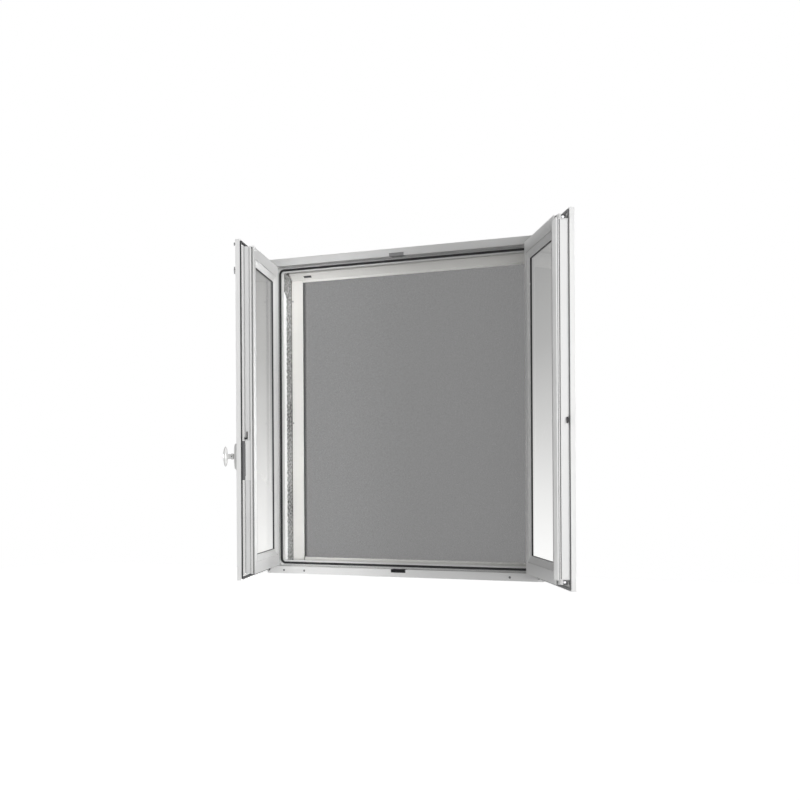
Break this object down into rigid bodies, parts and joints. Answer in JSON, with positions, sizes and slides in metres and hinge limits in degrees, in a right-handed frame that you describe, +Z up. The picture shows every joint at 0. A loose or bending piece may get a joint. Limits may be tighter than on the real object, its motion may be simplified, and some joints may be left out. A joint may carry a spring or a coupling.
{
  "type": "casement window with roller insect screen",
  "caption": "White inward-opening casement window with glazed leaves standing open and a roller insect screen drawn down on its outer side.",
  "frame": {"origin": "middle of the underside of the frame's sill, half way through the frame's depth", "axes": "+X along the sill to the right as seen from the room, -Y out of the frame's room face towards the room, +Z up"},
  "size_m": [1.4393, 0.6702, 1.19],
  "materials": {
    "frame_paint": "satin white powder coat",
    "leaf_paint": "satin white powder coat",
    "glass": "clear insulating unit, two panes",
    "spacer": "matt spacer bar",
    "seal_black": "black EPDM gasket",
    "seal_grey": "dark grey gasket",
    "hardware": "zinc plated steel",
    "lock_grey": "dark grey coated steel",
    "handle_white": "gloss white coating",
    "screw_dark": "blackened steel",
    "cap_white": "moulded white plastic",
    "screen_paint": "satin cream powder coat",
    "screen_plastic": "moulded off-white plastic",
    "brush_pile": "dark grey brush pile",
    "mesh": "fine grey woven glass-fibre mesh",
    "rod_grey": "satin grey coated steel",
    "guide_black": "moulded black plastic",
    "lining_board": "grey rendered board",
    "sealant": "off-white sealant, hand laid"
  },
  "bodies": {
    "window": {"frame_head": "frame_paint", "frame_sill": "frame_paint", "frame_jamb_left": "frame_paint", "frame_jamb_right": "frame_paint", "frame_seal": "seal_black", "frame_keeps": "hardware", "frame_hinges": "hardware", "lining_head": "lining_board", "lining_sill": "lining_board", "lining_sides": "lining_board", "hinge_pins": "hardware", "sealant_beads": "sealant", "sill_plugs": "cap_white", "screen_cassette": "screen_paint", "screen_cassette_ends": "screen_plastic", "screen_rail_left": "screen_paint", "screen_rail_right": "screen_paint", "screen_rail_brushes": "brush_pile", "screen_rail_screws": "hardware", "screen_mesh": "mesh"},
    "roller": {"screen_roller": "mesh"},
    "screen_bar": {"screen_bottom_bar": "screen_paint", "screen_bar_sliders": "screen_plastic", "screen_bar_brush": "brush_pile"},
    "left_leaf": {"left_leaf_top_rail": "leaf_paint", "left_leaf_bottom_rail": "leaf_paint", "left_leaf_closing_stile": "leaf_paint", "left_leaf_hinge_stile": "leaf_paint", "left_glass": "glass", "left_glass_spacer": "spacer", "left_glazing_beads": "leaf_paint", "left_glazing_seals": "seal_grey", "left_overlap_seal": "seal_black", "left_leaf_hinges": "hardware", "lock_case": "lock_grey", "handle_rose": "handle_white", "curtain_hooks": "hardware"},
    "handle": {"handle_knob": "handle_white", "handle_screw": "screw_dark"},
    "rod_top": {"drive_rod_top": "rod_grey", "lock_hook": "screw_dark"},
    "rod_bottom": {"drive_rod_bottom": "rod_grey"},
    "right_leaf": {"right_leaf_top_rail": "leaf_paint", "right_leaf_bottom_rail": "leaf_paint", "right_leaf_closing_stile": "leaf_paint", "right_leaf_hinge_stile": "leaf_paint", "right_glass": "glass", "right_glass_spacer": "spacer", "right_glazing_beads": "leaf_paint", "right_glazing_seals": "seal_grey", "right_overlap_seal": "seal_black", "right_leaf_hinges": "hardware", "astragal": "leaf_paint", "astragal_ends": "cap_white", "astragal_seal": "seal_grey", "hook_keep": "screw_dark", "bolt_guides": "guide_black", "bolt_guide_pins": "hardware"},
    "bolt_top": {"passive_bolt_top": "hardware"},
    "bolt_bottom": {"passive_bolt_bottom": "hardware"}
  },
  "joints": [
    {"name": "left_leaf_hinge", "type": "hinge", "parent": "window", "child": "left_leaf", "pos_m": [-0.559, -0.039, 0.592], "axis": [0, 0, -1], "range_deg": [-65.6, 104.4]},
    {"name": "right_leaf_hinge", "type": "hinge", "parent": "window", "child": "right_leaf", "pos_m": [0.559, -0.039, 0.592], "axis": [0, 0, 1], "range_deg": [-123.9, 46.1]},
    {"name": "handle_turn", "type": "hinge", "parent": "left_leaf", "child": "handle", "pos_m": [-0.34957, -0.5128, 0.434], "axis": [0.9107, 0.4131, 0], "range_deg": [0, 90]},
    {"name": "drive_rod_top_slide", "type": "slide", "parent": "left_leaf", "child": "rod_top", "axis": [0, 0, 1], "range_m": [0, 0.016]},
    {"name": "drive_rod_bottom_slide", "type": "slide", "parent": "left_leaf", "child": "rod_bottom", "axis": [0, 0, -1], "range_m": [0, 0.016]},
    {"name": "passive_bolt_top_slide", "type": "slide", "parent": "right_leaf", "child": "bolt_top", "axis": [0, 0, 1], "range_m": [0, 0.014]},
    {"name": "passive_bolt_bottom_slide", "type": "slide", "parent": "right_leaf", "child": "bolt_bottom", "axis": [0, 0, -1], "range_m": [0, 0.014]},
    {"name": "screen_bar_slide", "type": "slide", "parent": "window", "child": "screen_bar", "axis": [0, 0, 1], "range_m": [0, 1.042], "deforming": ["screen_mesh"]},
    {"name": "roller_spin", "type": "hinge", "parent": "window", "child": "roller", "pos_m": [0, 0.081, 1.134], "axis": [1, 0, 0], "continuous": true}
  ],
  "couplings": [
    {"joint": "drive_rod_top_slide", "follows": "handle_turn", "m_per_rad": 0.010186},
    {"joint": "drive_rod_bottom_slide", "follows": "handle_turn", "m_per_rad": 0.010186},
    {"joint": "roller_spin", "follows": "screen_bar_slide", "rad_per_m": 71.4}
  ]
}
